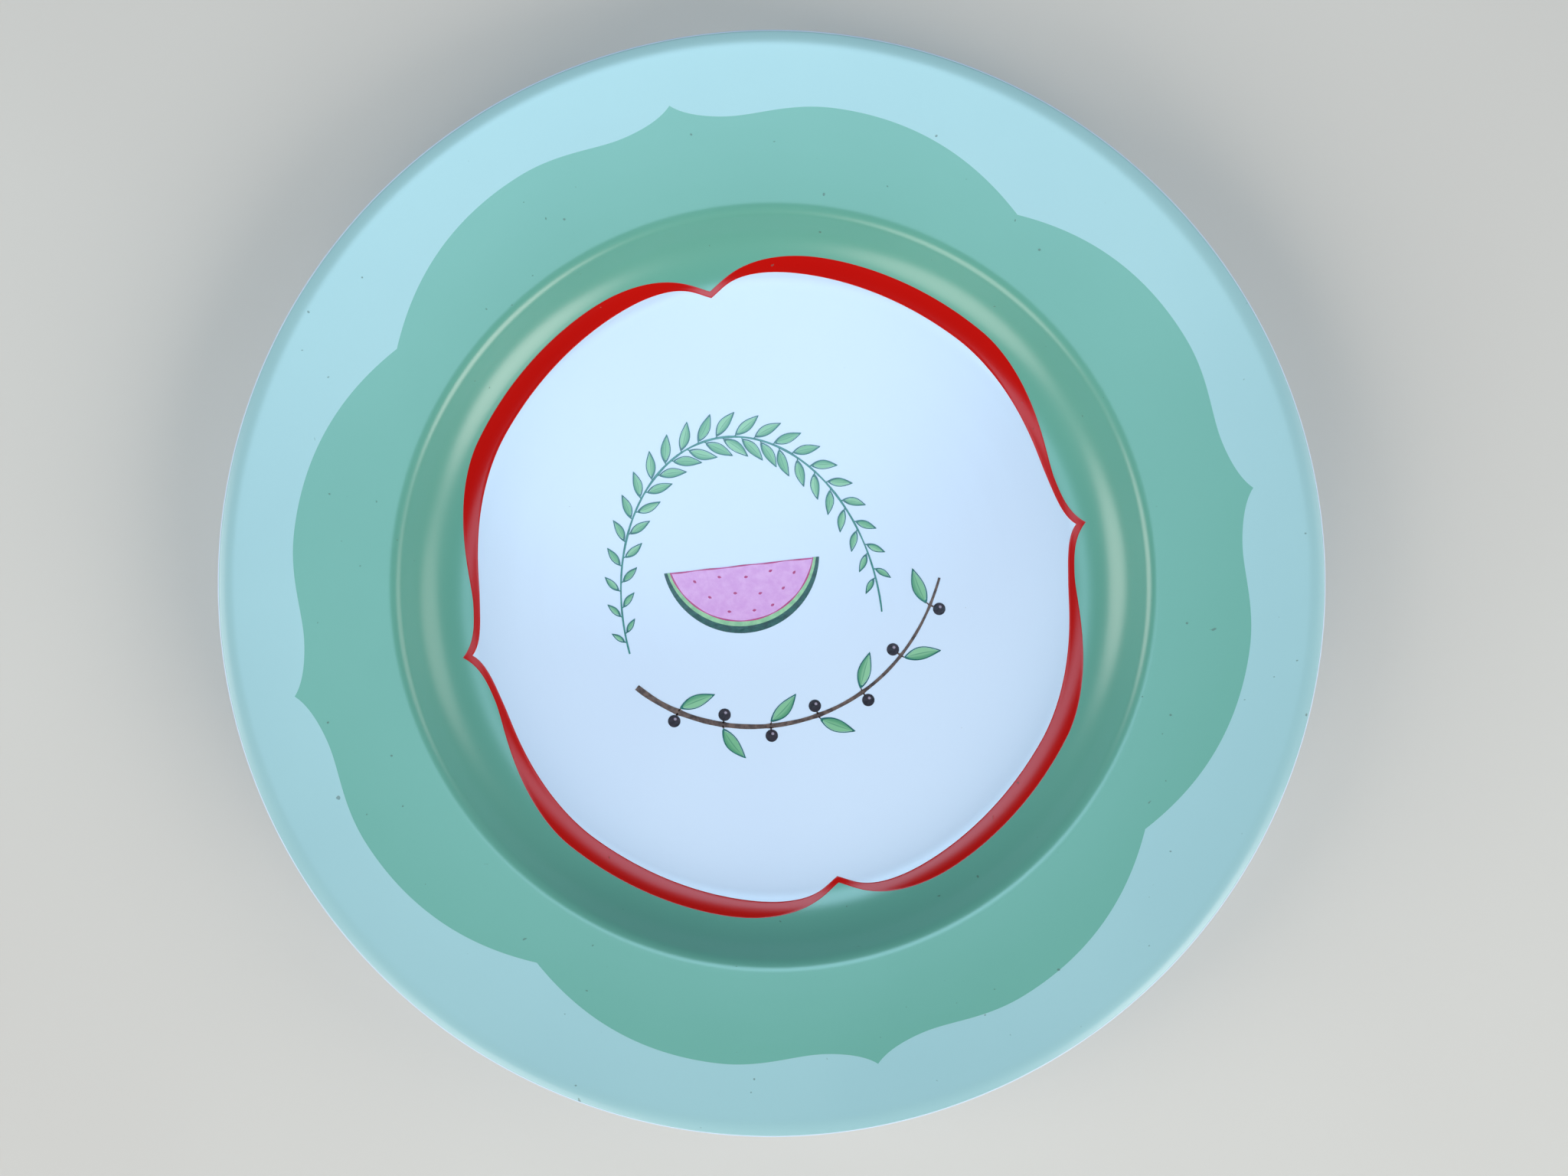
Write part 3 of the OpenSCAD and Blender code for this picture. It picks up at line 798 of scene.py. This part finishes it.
rind = Print()
rind.grid(crescent((half, MELON_DEPTH), rind_inner), np.linspace(0, 1, count)[:, None], np.linspace(0, 1, 5)[None])
rind.piece("melon_rind_print", materials["rind"], "melon_rind")
pith = Print()
pith.grid(crescent(rind_inner, pith_inner), np.linspace(0, 1, count)[:, None], np.linspace(0, 1, 5)[None])
pith.piece("melon_pith_print", materials["pith"], "melon_pith")
flesh = Print()
bottom = round_arc(*pith_inner, count)
top = np.stack([bottom[:, 0], 0 * bottom[:, 0]], 1)
f = np.linspace(0, 1, 9)[None, :, None]
body = bottom[:, None] * (1 - f) + top[:, None] * f
body = body[1:-1]
flesh.grid(on_melon(body.reshape(-1, 2)).reshape(body.shape), np.linspace(0, 1, count - 2)[:, None], np.linspace(0, 1, 9)[None])
flesh.piece("melon_flesh_print", materials["flesh"], "melon_flesh")

seeds = Print(lift=0.01)
MELON_SEEDS = [(-0.62, -0.17), (-0.3, -0.14), (0.04, -0.18), (0.36, -0.13), (0.66, -0.19), (-0.45, -0.42),
               (-0.12, -0.4), (0.2, -0.44), (0.5, -0.4), (-0.22, -0.66), (0.1, -0.68), (0.34, -0.63)]
for sx, sy in MELON_SEEDS:
    t = np.clip(np.linspace(0, 1, 13), 0.03, 0.97)
    x = SEED_LEN * (t - 0.5)
    y = SEED_LEN * 0.3 * leaf_half_width(t)[:, None] * np.array([[-1.0, 0.0, 1.0]])
    oval = np.stack([np.broadcast_to(x[:, None], y.shape), y], -1)
    oval = placed(oval.reshape(-1, 2), np.array([sx * half, sy * MELON_DEPTH]), math.radians(70 * sx))
    seeds.grid(on_melon(oval).reshape(13, 3, 2), t[:, None], np.array([[-1.0, 0, 1.0]]), rng.uniform())
# The painted line between flesh and pith, and along the cut
line = on_melon(round_arc(pith_inner[0] - 0.15, pith_inner[1] - 0.15, 101))
wobble = 1 + 0.3 * np.sin(np.linspace(0, 37, 101))
strip(seeds, line, 0.34 * wobble)
cut = on_melon(np.stack([np.linspace(-pith_inner[0] + 0.4, pith_inner[0] - 0.4, 81), -0.2 - 0.07 * np.sin(np.linspace(0, 21, 81))], 1))
strip(seeds, cut, 0.3 * (1 + 0.35 * np.sin(np.linspace(0, 29, 81))))
seeds.piece("melon_seeds_print", materials["seed"], "melon_seeds")

# ---- Floor, light and camera ------------------------------------------------------------------
# The photograph shows the plate turned by this angle, so its own axes are turned with it
VIEW_TURN = math.radians(12.3)
view_up = np.array([math.sin(VIEW_TURN), math.cos(VIEW_TURN)])
view_right = np.array([math.cos(VIEW_TURN), -math.sin(VIEW_TURN)])


def in_view(right, up, height):
    """A point given across and up the picture from the plate's axis, in metres."""
    p = view_right * right + view_up * up
    return Vector((p[0], p[1], height))


floor_mesh = bpy.data.meshes.new("floor")
size = 30.0
floor_mesh.from_pydata([(-size, -size, 0), (size, -size, 0), (size, size, 0), (-size, size, 0)], [], [(0, 1, 2, 3)])
floor = bpy.data.objects.new("floor", floor_mesh)
bpy.context.scene.collection.objects.link(floor)
floor_nodes = Nodes("pale_floor")
floor_tone = floor_nodes.mix(floor_nodes.span(floor_nodes.noise(3.0, 3.0), 0.3, 0.7), srgb(206, 202, 196), srgb(211, 208, 202))
floor_nodes.finish(floor_tone, 0.8, specular=0.2)
floor_mesh.materials.append(floor_nodes.material)

scene = bpy.context.scene
scene.view_settings.view_transform = "Standard"

RIM_Z = plate_h * MM
CAMERA_DISTANCE = 0.2855
# How far the camera leans from straight above, to the right and to the top of the picture
CAMERA_LEAN = (math.radians(-0.8), math.radians(1.9))
target = in_view(0.0021, 0.0010, RIM_Z)
camera_data = bpy.data.cameras.new("camera")
camera_data.sensor_width = 36.0
camera_data.lens = 27.04
camera_data.clip_start = 0.01
camera = bpy.data.objects.new("camera", camera_data)
scene.collection.objects.link(camera)
back = in_view(math.sin(CAMERA_LEAN[0]), math.sin(CAMERA_LEAN[1]), 1.0).normalized()
right = Vector((*view_right, 0))
right = (right - back * right.dot(back)).normalized()
up = back.cross(right)
rotation = Matrix((right, up, back)).transposed().to_4x4()
camera.matrix_world = Matrix.Translation(target + back * CAMERA_DISTANCE) @ rotation
scene.camera = camera


def soft_lamp(name, place, size, watts, color=(1, 1, 1)):
    data = bpy.data.lights.new(name, "AREA")
    data.shape = "DISK"
    data.size = size
    data.energy = watts
    data.color = color
    lamp = bpy.data.objects.new(name, data)
    lamp.location = place
    lamp.rotation_euler = (Vector((0, 0, 0)) - Vector(place)).to_track_quat("-Z", "Y").to_euler()
    scene.collection.objects.link(lamp)
    return lamp


for lamp_name, azimuth, elevation, watts in (
        ("window_left", 185, 28, 15.0), ("window_low_left", 240, 28, 13.0), ("window_low_right", 318, 28, 19.0),
        ("window_right", 5, 26, 8.0)):
    across, lift = math.cos(math.radians(elevation)), math.sin(math.radians(elevation))
    a = math.radians(azimuth)
    place = in_view(math.cos(a) * across, math.sin(a) * across, lift) * 2.0
    soft_lamp(lamp_name, place, 1.2, watts, (1.08, 1.0, 0.93))

world = bpy.data.worlds.new("studio")
scene.world = world
world.use_nodes = True
tree = world.node_tree
background = tree.nodes["Background"]
coordinate = tree.nodes.new("ShaderNodeTexCoord")


def world_node(kind, **settings):
    node = tree.nodes.new(kind)
    for key, value in settings.items():
        setattr(node, key, value)
    return node


# A broad soft glow overhead, a little towards the top of the picture
glow_axis = in_view(math.sin(math.radians(-3)), math.sin(math.radians(11)), math.cos(math.radians(11.4)))
dot = world_node("ShaderNodeVectorMath", operation="DOT_PRODUCT")
tree.links.new(coordinate.outputs["Generated"], dot.inputs[0])
dot.inputs[1].default_value = glow_axis
glow = world_node("ShaderNodeMapRange", interpolation_type="SMOOTHERSTEP")
tree.links.new(dot.outputs["Value"], glow.inputs["Value"])
glow.inputs["From Min"].default_value = math.cos(math.radians(19))
glow.inputs["From Max"].default_value = 1.0
sky = world_node("ShaderNodeMix", data_type="RGBA")
tree.links.new(glow.outputs["Result"], sky.inputs[0])
sky.inputs[6].default_value = (0.14, 0.14, 0.14, 1)
sky.inputs[7].default_value = (3.6, 5.6, 7.2, 1)
path_node = world_node("ShaderNodeLightPath")
seen = world_node("ShaderNodeMix", data_type="RGBA")
tree.links.new(path_node.outputs["Is Camera Ray"], seen.inputs[0])
tree.links.new(sky.outputs[2], seen.inputs[6])
seen.inputs[7].default_value = (0.86, 0.86, 0.86, 1)
tree.links.new(seen.outputs[2], background.inputs["Color"])
background.inputs["Strength"].default_value = 1.0
